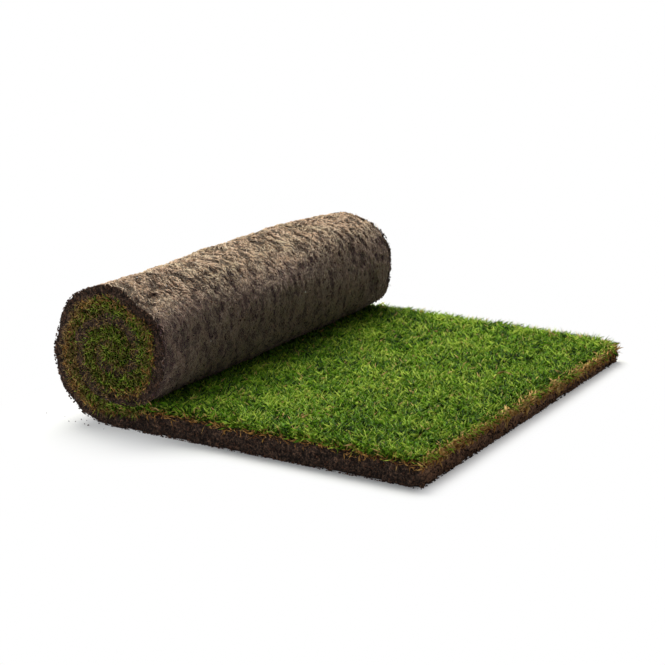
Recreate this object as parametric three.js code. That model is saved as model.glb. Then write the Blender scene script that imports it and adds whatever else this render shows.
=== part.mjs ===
// A roll of turf, partly unrolled: one strip of living turf made of a mat of soil and roots with a
// sward of grass on it. Millimetres, +Z up. The flat run points along +X, and the rest of the strip
// is wound up at -X with the grass inwards. The strip's width runs along Y, from the near edge (-Y)
// to the far edge (+Y). The origin is at the centre of the object's footprint, on the ground.
import * as THREE from "three";

const { clamp, degToRad, lerp, smoothstep } = THREE.MathUtils;

// ---- Driving dimensions ----
const STRIP_LENGTH = 1372; // developed length along the underside of the mat
const STRIP_WIDTH = 610;
const FLAT_RUN = 432; // from the line where the roll leaves the ground to the cut end
const MAT_NEAR = 28; // thickness of the soil and root mat at the near edge, where it lies flat
const MAT_FAR = 14; // and at the far edge: the strip was cut slightly wedge-shaped
const ROLLED_SHARE = 0.6; // share of its thickness that the mat keeps where it is stretched in the roll
const STRETCH_START = 80; // the mat starts to thin this far in front of the roll's line on the ground
const STRETCH_END = 30; // and is fully stretched this far past that line, in the roll
const TIGHTEST_BEND_SHARE = 0.6; // the mat never fills more than this share of the radius it is bent to
const SWARD_HEIGHT = 17; // free height of the grass above the mat
const SWARD_PRESSED = 16.5; // height of the grass pressed between two turns
const INNER_RADIUS = 18; // radius that the inner end of the strip is bent to, halfway across
const EYE_RADIUS = 3; // hollow left at the middle of the roll
const LAYER_GAP = 0.4; // clearance between the sward and the mats on both sides of it
const NIP_GAP = 0.6; // clearance between the flat sward and the roll that lies on it
const CRUMBLED_EDGE = 4; // soil lost along the lower edges of the mat
const LEANING_TIPS = 4; // how far the free grass draws in from the strip's edges at its tips
const SAG_BEHIND = 0.047; // the roll sags out by this share of its radius on the side away from the flat run
const SAG_AHEAD = 0.12; // and by this share on the side of the flat run
const SAG_ANGLE = degToRad(48); // the sags are greatest this far round the roll from its lowest line
const LEAN = 0.015; // the roll leans towards the flat run by this share of its radius, at half its height
const BELLY = 0.062; // the roll swells by this share of its radius where it is fullest
const BELLY_PLACE = 95; // and that is this far from the strip's middle, towards the far edge
const SIDE_DRIFT = 3; // how far the strip wanders to each side as it is wound, so its turns aren't flush
const DRIFT_TURNS = 1.3; // turns in one full wander
const STATIONS_PER_TURN = 44;
const UNDER_ROLL = degToRad(50); // the flat run's stations follow the roll's own as far as this angle
const FLAT_STATIONS = 16;
const WIDTH_STATIONS = 12;

// Mounds and hollows of the ground that the strip was cut from, as waves that cross one another. Each
// has a height as a share of the roll's radius, waves in a turn, waves across the strip, and a lead.
const MOUNDS = [
  { height: 0.02, inTurn: 4.8, across: 0.2, lead: degToRad(43) },
  { height: 0.018, inTurn: 3.2, across: -1.9, lead: degToRad(76) },
  { height: 0.016, inTurn: 6.3, across: 2, lead: degToRad(98) },
  { height: 0.014, inTurn: 2.5, across: 2.2, lead: degToRad(311) },
  { height: 0.012, inTurn: 7.3, across: -0.8, lead: degToRad(21) },
];

// ---- Sizes worked out from them ----
const FULL_TURN = 2 * Math.PI;
const HALF_WIDTH = STRIP_WIDTH / 2;
const STATION_ANGLE = FULL_TURN / STATIONS_PER_TURN;

// The mat is a wedge across the strip, and it sets how much each turn adds to the roll.
const matOnFlat = (y) => lerp(MAT_NEAR, MAT_FAR, (y + HALF_WIDTH) / STRIP_WIDTH);
const pitch = (y) => ROLLED_SHARE * matOnFlat(y) + SWARD_PRESSED;

// Angles run clockwise from the roll's lowest line, seen from the near end. Under its own weight the
// roll sags to both sides, by a curve that is level at its lowest and highest lines, and it leans
// towards the flat run. Its belly and its mounds die away towards the lowest line, where it is pressed
// flat. Every turn takes these as shares of its radius.
const SAG_POWER = (1 + Math.cos(SAG_ANGLE)) / (1 - Math.cos(SAG_ANGLE));
const sagCurve = (angle) => (1 - Math.cos(angle)) * (1 + Math.cos(angle)) ** SAG_POWER;

function mounds(angle, y) {
  const across = (FULL_TURN * y) / STRIP_WIDTH;
  return MOUNDS.reduce(
    (sum, wave) => sum + wave.height * Math.cos(wave.inTurn * angle + wave.across * across - wave.lead),
    0,
  );
}

function outOfRound(angle, y) {
  const sag = Math.sin(angle) > 0 ? SAG_BEHIND : SAG_AHEAD;
  const lean = LEAN * Math.sin(angle) * (1 - Math.cos(angle));
  const belly = BELLY * Math.cos((Math.PI * (y - BELLY_PLACE)) / STRIP_WIDTH) ** 2;
  const clearOfGround = 1 - ((1 + Math.cos(angle)) / 2) ** 2;
  return (sag * sagCurve(angle)) / sagCurve(SAG_ANGLE) - lean + clearOfGround * (belly + mounds(angle, y));
}

// A roll out of round uses up more of the strip than an even one. The length of its first turn,
// halfway across, is summed from station to station for a radius of 1.
function turnLength() {
  let length = 0;
  for (let i = 0; i < STATIONS_PER_TURN; i++) {
    const before = 1 + outOfRound(i * STATION_ANGLE, 0);
    const after = 1 + outOfRound((i + 1) * STATION_ANGLE, 0);
    length += Math.hypot(((before + after) / 2) * STATION_ANGLE, after - before);
  }
  return length;
}

const EVEN_LENGTH = ((STRIP_LENGTH - FLAT_RUN) * FULL_TURN) / turnLength();

// Turns that use up a length of the strip. The length of an Archimedean spiral is that of its turns
// at their mean radius, INNER_RADIUS + pitch * turns / 2, which gives a quadratic for the turns.
function turnsIn(length) {
  const square = Math.PI * pitch(0);
  const linear = FULL_TURN * INNER_RADIUS;
  return (Math.sqrt(linear * linear + 4 * square * length) - linear) / (2 * square);
}

const ROLL_ANGLE = FULL_TURN * turnsIn(EVEN_LENGTH);
const MEAN_RADIUS = EVEN_LENGTH / ROLL_ANGLE;
const outerRadius = (y) => MEAN_RADIUS + (pitch(y) * ROLL_ANGLE) / (2 * FULL_TURN);

// ---- The roll's course ----
// Radius of the underside of the mat, which faces outwards in the roll.
function skinRadius(angle, y) {
  const evenRadius = outerRadius(y) - (pitch(y) * angle) / FULL_TURN;
  return evenRadius * (1 + outOfRound(angle, y));
}

const drift = (angle) => SIDE_DRIFT * Math.sin(angle / DRIFT_TURNS);

// Height of the roll's lower side over the flat run at x, less the clearance under it, or Infinity
// in front of the roll. Each pass takes the radius at the angle that the pass before found.
function rollUnderside(x, y) {
  let angle = FULL_TURN;
  for (let pass = 0; pass < 8; pass++) {
    const radius = skinRadius(angle, y) + NIP_GAP;
    if (x >= radius) return Infinity;
    angle = FULL_TURN - Math.asin(x / radius);
  }
  return outerRadius(y) - (skinRadius(angle, y) + NIP_GAP) * Math.cos(angle);
}

// Stations along the strip, from its inner end in the roll to the cut end of the flat run. A rolled
// station has an angle, and a flat one an x. An innermost one has no further turn inside it.
function stripStations() {
  const besideEnd = ROLL_ANGLE - FULL_TURN;
  const endGap = (3 * LAYER_GAP) / INNER_RADIUS;
  const angles = [ROLL_ANGLE, besideEnd + endGap, besideEnd + endGap / 3];
  for (let angle = STATION_ANGLE; angle < ROLL_ANGLE - endGap; angle += STATION_ANGLE) {
    if (Math.abs(angle - besideEnd) > 2 * endGap) angles.push(angle);
  }
  angles.sort((a, b) => b - a);
  const stations = angles.map((angle) => ({ rolled: true, angle, innermost: angle >= besideEnd + endGap }));

  // Under the roll the flat run's stations stand below the roll's own, so that their facets match.
  let x = 0;
  for (let angle = 0; angle < UNDER_ROLL; angle += STATION_ANGLE) {
    x = skinRadius(FULL_TURN - angle, 0) * Math.sin(angle);
    stations.push({ rolled: false, x });
  }
  for (let i = 1; i <= FLAT_STATIONS; i++) {
    stations.push({ rolled: false, x: lerp(x, FLAT_RUN, i / FLAT_STATIONS) });
  }
  return stations;
}

// ---- Heights above the underside of the mat, which in the roll are measured inwards ----
function matThickness(station, y) {
  const distance = station.rolled ? -outerRadius(y) * station.angle : station.x;
  const share = lerp(ROLLED_SHARE, 1, smoothstep(distance, -STRETCH_END, STRETCH_START));
  const thickness = share * matOnFlat(y);
  if (!station.rolled) return thickness;
  return Math.min(thickness, TIGHTEST_BEND_SHARE * skinRadius(station.angle, y));
}

function swardTop(station, y) {
  if (!station.rolled) {
    return Math.min(matThickness(station, y) + SWARD_HEIGHT, rollUnderside(station.x, y));
  }
  const besideIt = y + drift(station.angle) - drift(station.angle + FULL_TURN);
  const nextTurn = skinRadius(station.angle + FULL_TURN, besideIt) + LAYER_GAP;
  return skinRadius(station.angle, y) - (station.innermost ? EYE_RADIUS : nextTurn);
}

// The point at a height above the strip's underside, at y across it.
function stripPoint(station, y, height) {
  if (!station.rolled) return new THREE.Vector3(station.x, y, height);
  const radius = skinRadius(station.angle, y) - height;
  const x = -radius * Math.sin(station.angle);
  const z = outerRadius(y) - radius * Math.cos(station.angle);
  return new THREE.Vector3(x, y + drift(station.angle), z);
}

// A layer of the strip: a box with one division for each station, bent to the strip's course. levels
// lists its surfaces from the lowest up, each with a height and how far its rim is drawn in.
function stripLayer(levels) {
  const stations = stripStations();
  const lengths = stations.length - 1;
  const layers = levels.length - 1;
  const geometry = new THREE.BoxGeometry(1, 1, 1, lengths, WIDTH_STATIONS, layers);
  const position = geometry.getAttribute("position");
  for (let i = 0; i < position.count; i++) {
    const along = Math.round((position.getX(i) + 0.5) * lengths);
    const across = Math.round((position.getY(i) + 0.5) * WIDTH_STATIONS) / WIDTH_STATIONS;
    const level = levels[Math.round((position.getZ(i) + 0.5) * layers)];
    const station = { ...stations[along] };
    const drawnIn = level.drawnIn(station);
    const rim = HALF_WIDTH - drawnIn;
    const y = clamp(lerp(-HALF_WIDTH, HALF_WIDTH, across), -rim, rim);
    const height = level.height(station, y);
    if (along === lengths) station.x -= drawnIn;
    position.setXYZ(i, ...stripPoint(station, y, height));
  }
  matchDiagonals(geometry);
  geometry.computeVertexNormals();
  return geometry;
}

// BoxGeometry splits the facets of its lower side along the other diagonal than those of its upper
// side. These are split anew, so that the layers' facets lie flush on one another.
function matchDiagonals(geometry) {
  const lowerSide = geometry.groups[5];
  const corners = geometry.index.array;
  for (let i = lowerSide.start; i < lowerSide.start + lowerSide.count; i += 6) {
    const [a, b, d, , c] = corners.slice(i, i + 6);
    corners.set([a, b, c, a, c, d], i);
  }
}

// ---- The two materials of the strip ----
function rootMat() {
  const flush = () => 0;
  const geometry = stripLayer([
    { height: () => 0, drawnIn: () => CRUMBLED_EDGE },
    { height: (station, y) => Math.min(CRUMBLED_EDGE, matThickness(station, y) / 2), drawnIn: flush },
    { height: matThickness, drawnIn: flush },
  ]);
  const earth = new THREE.MeshStandardMaterial({ color: 0x4a3527, roughness: 0.95, metalness: 0 });
  const mesh = new THREE.Mesh(geometry, earth);
  mesh.name = "root_mat";
  return mesh;
}

// The sward stands free on the flat run, and is pressed from its edges in under and inside the roll.
function grassSward() {
  const standing = (station) => (station.rolled ? 0 : smoothstep(station.x, 0, STRETCH_START));
  const geometry = stripLayer([
    { height: (station, y) => matThickness(station, y) + LAYER_GAP, drawnIn: () => 0 },
    { height: swardTop, drawnIn: (station) => LEANING_TIPS * standing(station) },
  ]);
  const grass = new THREE.MeshStandardMaterial({ color: 0x5f7f24, roughness: 0.8, metalness: 0 });
  const mesh = new THREE.Mesh(geometry, grass);
  mesh.name = "grass_sward";
  return mesh;
}

const turfRoll = new THREE.Group();
turfRoll.add(rootMat(), grassSward());

// The middle of the roll's footprint is put at the origin.
const bounds = new THREE.Box3().setFromObject(turfRoll);
const middle = bounds.getCenter(new THREE.Vector3());
turfRoll.children.forEach((mesh) => mesh.position.set(-middle.x, -middle.y, 0));

export default turfRoll;
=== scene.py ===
"""Looks of a partly unrolled roll of turf: a crumbly mat of soil and roots, and its grass."""

import itertools
import math
from functools import partial

import bpy
import numpy as np
from bpy.props import FloatProperty, FloatVectorProperty, IntProperty, PointerProperty
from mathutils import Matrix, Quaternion, Vector


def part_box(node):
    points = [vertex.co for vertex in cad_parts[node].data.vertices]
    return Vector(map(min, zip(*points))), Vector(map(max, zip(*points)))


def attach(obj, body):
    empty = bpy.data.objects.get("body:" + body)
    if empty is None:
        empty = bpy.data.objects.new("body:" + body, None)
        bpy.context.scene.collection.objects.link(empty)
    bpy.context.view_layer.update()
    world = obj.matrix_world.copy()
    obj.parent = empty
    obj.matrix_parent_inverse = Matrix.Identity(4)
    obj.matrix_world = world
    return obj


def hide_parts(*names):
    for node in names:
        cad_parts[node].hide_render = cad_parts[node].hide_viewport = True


bl_info = {
    "name": "Roll of Turf",
    "version": (1, 0, 0),
    "blender": (4, 5, 0),
    "location": "3D View > Sidebar > Turf",
    "description": "Builds a strip of living turf, wound up at one end and laid flat at the other",
    "category": "Add Mesh",
}

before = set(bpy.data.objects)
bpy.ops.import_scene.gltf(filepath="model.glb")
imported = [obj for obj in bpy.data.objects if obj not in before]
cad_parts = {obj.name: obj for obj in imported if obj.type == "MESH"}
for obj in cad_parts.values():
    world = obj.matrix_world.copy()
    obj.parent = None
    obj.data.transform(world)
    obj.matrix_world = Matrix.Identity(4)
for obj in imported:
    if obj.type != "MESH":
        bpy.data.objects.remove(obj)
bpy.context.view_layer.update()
CUT_END_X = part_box("root_mat")[1].x

MM = 0.001
TURN = 2 * math.pi

# The stage. The camera's yaw is to the left of +Y, its pitch is downwards, and its roll is about
# its own axis, all in degrees. Its place and lens are in mm, and other lengths in metres.
CAMERA_PLACE = (1222.8, -2257.2, 800.1)
CAMERA_YAW, CAMERA_PITCH, CAMERA_ROLL = -28.99, 15.77, 0.893
CAMERA_LENS, CAMERA_SENSOR = 108.53, 36
LAMPS = {  # place, size, power in watts, and colour
    "soft_box": ((-1.15, 0.95, 1.95), 1.9, 118.0, (1.0, 1.0, 1.0)),
    "front_fill": ((-0.5, -2.0, 0.8), 1.4, 20.5, (0.94, 0.98, 1.12)),
}
SKY_STRENGTH, SKY_COLOUR = 0.125, (0.95, 0.96, 1.15)
FLOOR_REACH, FLOOR_DEPTH = 30.0, 0.2 * MM
FOOTPRINT = ((0.0295, 0, 0), (0.22, 0.308, 0))  # middle and half size of what lies on the floor
PAPER_LIT, PAPER_SEEN = (0.8, 0.8, 0.8), (0.86, 0.865, 0.78)
ROLL_EDGE = (-0.12, 0.0)  # x up to which the floor lies beside the roll, and from which it doesn't
GLOW_REACH = (0.15, 0.048)  # how far from the footprint it is white, beside the roll and beyond
GLOW_START = (-0.5, -0.12)  # where the glow sets in there, as a share of its reach


def srgb(code):
    """An sRGB hex colour as linear red, green and blue."""
    parts = [int(code[i : i + 2], 16) / 255 for i in (1, 3, 5)]
    return tuple(c / 12.92 if c <= 0.04045 else ((c + 0.055) / 1.055) ** 2.4 for c in parts)


# ---- what a user would change


def setting(kind, name, description, default, **settings):
    """A property of the panel, with its name, its description and its default."""
    return kind(name=name, description=description, default=default, **settings)


Length = partial(setting, FloatProperty, unit="LENGTH")
Angle = partial(setting, FloatProperty, unit="ROTATION")
Share = partial(setting, FloatProperty)
Count = partial(setting, IntProperty)
Colour = partial(setting, FloatVectorProperty, subtype="COLOR")


class TurfSizes(bpy.types.PropertyGroup):
    """Sizes of the strip. They repeat the model's own, so the looks fit the frame."""

    strip_length: Length("Strip length", "Developed length of the underside", 1.372)
    strip_width: Length("Strip width", "Width between the cut edges", 0.61)
    flat_run: Length("Flat run", "From the roll's line on the ground to the cut end", 0.432)
    mat_near: Length("Mat, near edge", "Thickness of the mat at the near edge", 0.028)
    mat_far: Length("Mat, far edge", "Thickness of the mat at the far edge", 0.014)
    rolled_share: Share("Rolled share", "Share of its thickness the mat keeps in the roll", 0.6)
    stretch_start: Length("Stretch start", "The mat starts to thin this far before the roll", 0.08)
    stretch_end: Length("Stretch end", "The mat is fully stretched this far into the roll", 0.03)
    sward_height: Length("Sward height", "Free height of the grass above the mat", 0.017)
    sward_pressed: Length("Pressed sward", "Height of the grass between two turns", 0.0165)
    inner_radius: Length("Inner radius", "Radius of the strip's inner end, halfway across", 0.018)
    sag_behind: Share("Sag behind", "Share of its radius that the roll sags at its back", 0.047)
    sag_ahead: Share("Sag ahead", "Share of its radius that it sags over the flat run", 0.12)
    sag_angle: Angle("Sag angle", "How far round the sags are greatest", math.radians(48))
    lean: Share("Lean", "Share of its radius that the roll leans towards the flat run", 0.015)
    belly: Share("Belly", "Share of its radius that the roll swells where it is fullest", 0.062)
    belly_place: Length("Belly place", "How far from the middle it is fullest", 0.095)
    side_drift: Length("Side drift", "How far the turns wander to each side", 0.003)


class TurfPlants(bpy.types.PropertyGroup):
    """How many blades, roots and crumbs there are, and how large the blades are."""

    tufts: Count("Tufts", "Grass plants on the flat run", 13000)
    blades_per_tuft: Count("Blades per tuft", "Blades of one plant", 9)
    blade_length: Length("Blade length", "Usual length of a mown blade", 0.013)
    blade_width: Length("Blade width", "Usual width of a blade", 0.00095)
    end_blades: Count("End blades", "Blades at each end of the roll", 11000)
    root_hairs: Count("Root hairs", "Roots on the roll's skin", 46000)
    stems: Count("Stems", "Dead stems along the cut edges", 4800)
    crumbs: Count("Crumbs", "Loose crumbs of soil", 6500)


class TurfColours(bpy.types.PropertyGroup):
    """Colours of the soil, the roots and the grass."""

    # Humus also stands as painted shade in the underside's pits.
    humus: Colour("Humus", "Moist soil in the hollows", srgb("#2A1E15"))
    earth: Colour("Earth", "Roots that the soil has stained", srgb("#6E4F3A"))
    felt: Colour("Root felt", "Dry felt of roots on the underside", srgb("#D6B086"))
    # Felt in painted shade: the colour that the underside and its roots turn to where they face
    # away from straight up.
    felt_painted_shade: Colour("Felt in painted shade", "Felt where it has not dried", srgb("#604850"))
    root: Colour("Root", "Single root hairs", srgb("#E4C8A4"))
    blade_deep: Colour("Deep green", "Shaded and young blades", srgb("#213B08"))
    blade: Colour("Green", "Most blades", srgb("#6B9B16"))
    blade_bright: Colour("Bright green", "Blades in full light", srgb("#B8CC4C"))
    # The blades' foot colour is darker than their green: painted shade low in the sward.
    blade_foot_and_shade: Colour("Blade foot", "Yellowish foot of a blade, darkened as painted shade", srgb("#5A5A22"))
    thatch: Colour("Thatch", "Dead leaves that rot in the sward", srgb("#704C36"))
    straw: Colour("Straw", "Dead blades and stems", srgb("#D2B06A"))


# ---- noise, meshes and pieces

OFF_AXIS = np.array([[0.36, 0.48, -0.8], [-0.8, 0.6, 0.0], [0.48, 0.64, 0.6]])


def smooth_step(value, low, high):
    """0 below low, 1 above high, and 3t^2 - 2t^3 between them."""
    t = np.clip((value - low) / (high - low), 0, 1)
    return t * t * (3 - 2 * t)


def points(u, y, h):
    """Lengths along the strip, across it and up, broadcast together, in a row for each point."""
    return np.stack(np.broadcast_arrays(u, y, h), -1).reshape(-1, 3)


def noise(at, spacing, seed):
    """Smooth random values from -1 to 1: random numbers at the corners of a cubic lattice of that
    spacing, turned off the axes, blended with smoothstep weights. A corner's number is a hash of
    where it is, made with large odd factors."""
    scaled = at @ OFF_AXIS / spacing
    cell = np.floor(scaled).astype(np.int64)
    t = scaled - cell
    t = t * t * (3 - 2 * t)
    total = np.zeros(len(at))
    for corner in itertools.product((0, 1), repeat=3):
        c = cell + corner
        n = c[:, 0] * 374761393 + c[:, 1] * 668265263 + c[:, 2] * 1440662683 + seed * 974634777
        n = (n ^ (n >> 13)) * 1274126177
        n = (n ^ (n >> 16)) & 0xFFFFFF
        total += np.prod(np.where(corner, t, 1 - t), axis=1) * (n / 0x7FFFFF - 1)
    return total


def grid_faces(rows, columns, wrapped=False):
    """Quads of a grid whose points are counted row by row. wrapped joins its last column to the
    first."""
    row = np.arange(rows - 1)[:, None] * columns
    here = np.arange(columns if wrapped else columns - 1)[None, :]
    after = (here + 1) % columns
    quads = np.stack([row + here, row + after, row + columns + after, row + columns + here], -1)
    return quads.reshape(-1, 4)


def bar_faces(rows, columns):
    """Faces of a bar: its sections are loops, one in each row, and a cap closes each end."""
    cap = np.arange(columns)
    return [grid_faces(rows, columns, True), np.stack([cap[::-1], cap + (rows - 1) * columns])]


def write_mesh(name, places, faces, material, values=None, uv=None, smooth=True):
    """A mesh from arrays. faces lists blocks of faces, each an array with one row of corners for
    each face. They are all turned round if they enclose a negative volume."""
    fans = [
        np.stack([block[:, 0], block[:, i], block[:, i + 1]], -1)
        for block in faces
        for i in range(1, block.shape[1] - 1)
    ]
    a, b, c = places[np.concatenate(fans)].transpose(1, 0, 2)
    if np.einsum("ij,ij->", a, np.cross(b, c)) < 0:
        faces = [block[:, ::-1] for block in faces]
    sizes = np.concatenate([np.full(len(block), block.shape[1]) for block in faces])
    corners = np.concatenate([block.ravel() for block in faces]).astype(np.int32)
    starts = np.concatenate([[0], np.cumsum(sizes)[:-1]])
    mesh = bpy.data.meshes.new(name)
    mesh.vertices.add(len(places))
    mesh.vertices.foreach_set("co", places.astype(np.float32).ravel())
    mesh.loops.add(len(corners))
    mesh.loops.foreach_set("vertex_index", corners)
    mesh.polygons.add(len(sizes))
    mesh.polygons.foreach_set("loop_start", starts.astype(np.int32))
    mesh.polygons.foreach_set("use_smooth", np.full(len(sizes), smooth))
    mesh.update(calc_edges=True)
    for key, value in (values or {}).items():
        attribute = mesh.attributes.new(key, "FLOAT", "POINT")
        attribute.data.foreach_set("value", value.astype(np.float32))
    if uv is not None:
        layer = mesh.uv_layers.new(name="strip")
        layer.data.foreach_set("uv", uv[corners].astype(np.float32).ravel())
    if mesh.validate():
        raise RuntimeError(f"{name} had faces that Blender had to mend")
    mesh.materials.append(material)
    return mesh


def write_copies(name, corners, faces, values, material, smooth=True):
    """A mesh of many small closed solids, kept above the floor. corners has a row of points for
    each solid, faces are those of one solid, and values are broadcast to a row for each solid."""
    count, size = corners.shape[:2]
    corners[:, :, 2] = np.maximum(corners[:, :, 2], 0)
    faces = (faces + size * np.arange(count)[:, None, None]).reshape(-1, faces.shape[1])
    values = {key: np.broadcast_to(value, (count, size)).ravel() for key, value in values.items()}
    return write_mesh(name, corners.reshape(-1, 3), [faces], material, values, smooth=smooth)


def link_object(name, data):
    """A new object in the scene."""
    new = bpy.data.objects.new(name, data)
    bpy.context.scene.collection.objects.link(new)
    return new


def add_piece(mesh, node):
    """Puts a mesh in the scene as a piece that rides on the turf and stands for a node of the
    frame."""
    piece = link_object(mesh.name, mesh)
    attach(piece, "root")
    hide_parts(node)


# ---- the strip's course

# Mounds and hollows of the roll: waves, each with its height as a share of the roll's radius, its
# waves in a turn, its waves across the strip, and its lead in degrees.
MOUNDS = (
    (0.020, 4.8, 0.2, 43),
    (0.018, 3.2, -1.9, 76),
    (0.016, 6.3, 2.0, 98),
    (0.014, 2.5, 2.2, 311),
    (0.012, 7.3, -0.8, 21),
)
DRIFT_TURNS = 1.3
TURN_STATIONS = 44
EYE_RADIUS = 3 * MM
BEND_LIMIT = 0.6  # the mat fills no more of the radius that it is bent to
FAR_OFF = 1.0  # a height that nothing in the strip reaches
UNDERSIDE_ROUNDS = 8


class Course:
    """Where the strip lies. u is the distance along its underside from the roll's line on the
    ground, positive towards the cut end and negative into the roll, where it is that of an even
    spiral with as many turns. y is across the strip, and h is the height above its underside,
    inwards in the roll."""

    def __init__(self, sizes):
        self.sizes = sizes
        self.half_width = sizes.strip_width / 2
        self.ground_line = CUT_END_X - sizes.flat_run
        self.sag_power = (1 + math.cos(sizes.sag_angle)) / (1 - math.cos(sizes.sag_angle))
        step = TURN / TURN_STATIONS
        share = 1 + self.out_of_round(np.arange(TURN_STATIONS + 1) * TURN / TURN_STATIONS, 0)
        turn_length = np.hypot((share[:-1] + share[1:]) / 2 * step, np.diff(share)).sum()
        self.rolled_length = (sizes.strip_length - sizes.flat_run) * TURN / turn_length
        square = math.pi * self.pitch(0)
        linear = TURN * sizes.inner_radius
        turns = (math.sqrt(linear**2 + 4 * square * self.rolled_length) - linear) / (2 * square)
        self.roll_angle = TURN * turns
        self.mean_radius = self.rolled_length / self.roll_angle

    def mat_on_flat(self, y):
        """Thickness of the mat on the flat, which changes evenly from the near edge to the far
        one."""
        share = (y + self.half_width) / self.sizes.strip_width
        return self.sizes.mat_near + (self.sizes.mat_far - self.sizes.mat_near) * share

    def pitch(self, y):
        """How much nearer to the axis the strip is after each turn."""
        return self.sizes.rolled_share * self.mat_on_flat(y) + self.sizes.sward_pressed

    def outer_radius(self, y):
        """Radius at which the even spiral starts, so that it winds up its length halfway
        across."""
        return self.mean_radius + self.pitch(y) * self.roll_angle / (2 * TURN)

    def angle(self, u):
        """Angle about the roll's axis where a length -u of the spiral is wound up, 0 on the flat
        run: the root of length = radius * angle - pitch * angle^2 / (4 pi), halfway across the
        strip."""
        length = np.maximum(-np.asarray(u, float), 0)
        radius, pitch = self.outer_radius(0), self.pitch(0)
        root = np.sqrt(np.maximum(radius**2 - pitch * length / math.pi, 0))
        return (radius - root) * TURN / pitch

    def length(self, angle):
        """Length of strip that is wound up at an angle: the formula that angle() turns round."""
        return self.outer_radius(0) * angle - self.pitch(0) * angle**2 / (2 * TURN)

    def sag_curve(self, angle):
        """(1 - cos)(1 + cos)^p, which is greatest at the sag angle."""
        return (1 - np.cos(angle)) * (1 + np.cos(angle)) ** self.sag_power

    def out_of_round(self, angle, y):
        """Share of its radius that the roll gains: the sag curve on each side, less a lean of sin
        (1 - cos). A belly, as cos^2 across the strip, and the mounds, a sum of waves, die away
        towards the lowest line, as 1 - ((1 + cos) / 2)^2."""
        sizes = self.sizes
        sag = np.where(np.sin(angle) > 0, sizes.sag_behind, sizes.sag_ahead)
        sag = sag * self.sag_curve(angle) / self.sag_curve(sizes.sag_angle)
        lean = sizes.lean * np.sin(angle) * (1 - np.cos(angle))
        belly = sizes.belly * np.cos(math.pi * (y - sizes.belly_place) / sizes.strip_width) ** 2
        across = TURN * y / sizes.strip_width
        mounds = sum(
            height * np.cos(in_turn * angle + waves * across - math.radians(lead))
            for height, in_turn, waves, lead in MOUNDS
        )
        clear = 1 - ((1 + np.cos(angle)) / 2) ** 2
        return sag - lean + clear * (belly + mounds)

    def skin_radius(self, angle, y):
        """Radius of the strip's underside: that of an even spiral, out of round by the same share
        in each turn."""
        even = self.outer_radius(y) - self.pitch(y) * angle / TURN
        return even * (1 + self.out_of_round(angle, y))

    def drift(self, angle):
        """How far a turn has wandered along the roll's axis: a slow sine."""
        return self.sizes.side_drift * np.sin(angle / DRIFT_TURNS)

    def mat(self, u, y):
        """Thickness of the mat: full on the flat, thinner where it is stretched in the roll, and
        never more than a share of the radius it is bent to."""
        share = smooth_step(u, -self.sizes.stretch_end, self.sizes.stretch_start)
        share = self.sizes.rolled_share + (1 - self.sizes.rolled_share) * share
        thickness = share * self.mat_on_flat(y)
        limit = np.where(u < 0, BEND_LIMIT * self.skin_radius(self.angle(u), y), FAR_OFF)
        return np.minimum(thickness, limit)

    def roll_underside(self, x, y):
        """Height of the roll's lower side over the flat run, found by a few rounds of taking the
        radius at the angle of the round before. In front of the roll it is far above."""
        angle = np.full(np.shape(x), TURN)
        for _ in range(UNDERSIDE_ROUNDS):
            radius = self.skin_radius(angle, y)
            angle = TURN - np.arcsin(np.clip(x / radius, -1, 1))
        height = self.outer_radius(y) - radius * np.cos(angle)
        return np.where(x < radius, height, FAR_OFF)

    def room(self, u, y):
        """Height that the grass has above the mat: its own on the flat, less under the roll, and
        up to the next turn or the eye in the roll."""
        angle, mat = self.angle(u), self.mat(u, y)
        beside = y + self.drift(angle) - self.drift(angle + TURN)
        next_turn = self.skin_radius(angle + TURN, beside)
        inner = np.where(angle > self.roll_angle - TURN, EYE_RADIUS, next_turn)
        rolled = self.skin_radius(angle, y) - inner - mat
        under_roll = self.roll_underside(np.maximum(u, 0), y) - mat
        return np.where(u < 0, rolled, np.minimum(self.sizes.sward_height, under_roll))

    def place(self, u, y, h):
        """Points of the strip in the frame: straight on the flat, and on the spiral in the
        roll."""
        angle = self.angle(u)
        radius = self.skin_radius(angle, y) - h
        x = np.where(u < 0, -radius * np.sin(angle), u)
        z = np.where(u < 0, self.outer_radius(y) - radius * np.cos(angle), h)
        across = y + self.drift(angle) + 0 * x
        return np.stack([x + self.ground_line, across, np.maximum(z, 0)], -1)

    def axes(self, u):
        """Unit vectors at u: along the strip to the cut end, across it, and up from its
        underside."""
        angle = self.angle(u)
        zero = np.zeros_like(angle)
        along = np.stack([np.cos(angle), zero, -np.sin(angle)], -1)
        up = np.stack([np.sin(angle), zero, np.cos(angle)], -1)
        across = np.stack([zero, zero + 1, zero], -1)
        return along, across, up


# ---- materials

SMOOTH = {"interpolation_type": "SMOOTHSTEP"}
WEIGHTED = {"operation": "MULTIPLY_ADD"}  # input 0 times its weight, input 1, and input 2 added
# What the roots' dry fuzz gives a surface: light caught along it, and hardly a gloss.
FUZZ = {"Specular IOR Level": 0.1, "Sheen Roughness": 0.4, "Sheen Tint": srgb("#E8D5B5")}
ROOT_DIRECTIONS = (1.1, 1.55, 2.1)  # in radians, near the one that the blade took


def add_node(tree, kind, inputs=None, output=0, stops=None, **settings):
    """Adds a shader node with its settings and gives one of its outputs. inputs holds its
    sockets' values, or the outputs that they are linked to, and stops a ramp's places and
    colours. A noise's Scale is how many of its largest grains there are in a metre."""
    node = tree.nodes.new("ShaderNode" + kind)
    for key, value in settings.items():
        setattr(node, key, value)
    for key, value in (inputs or {}).items():
        socket = node.inputs[key]
        if isinstance(value, bpy.types.NodeSocket):
            tree.links.new(value, socket)
        else:
            socket.default_value = (*value, 1) if socket.type == "RGBA" else value
    if stops:
        ramp = node.color_ramp.elements
        for end in (0, -1):
            ramp[end].position = stops[end][0]
            ramp[end].color = (*stops[end][1], 1)
        for position, colour in stops[1:-1]:
            ramp.new(position).color = (*colour, 1)
    return node.outputs[output]


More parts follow.
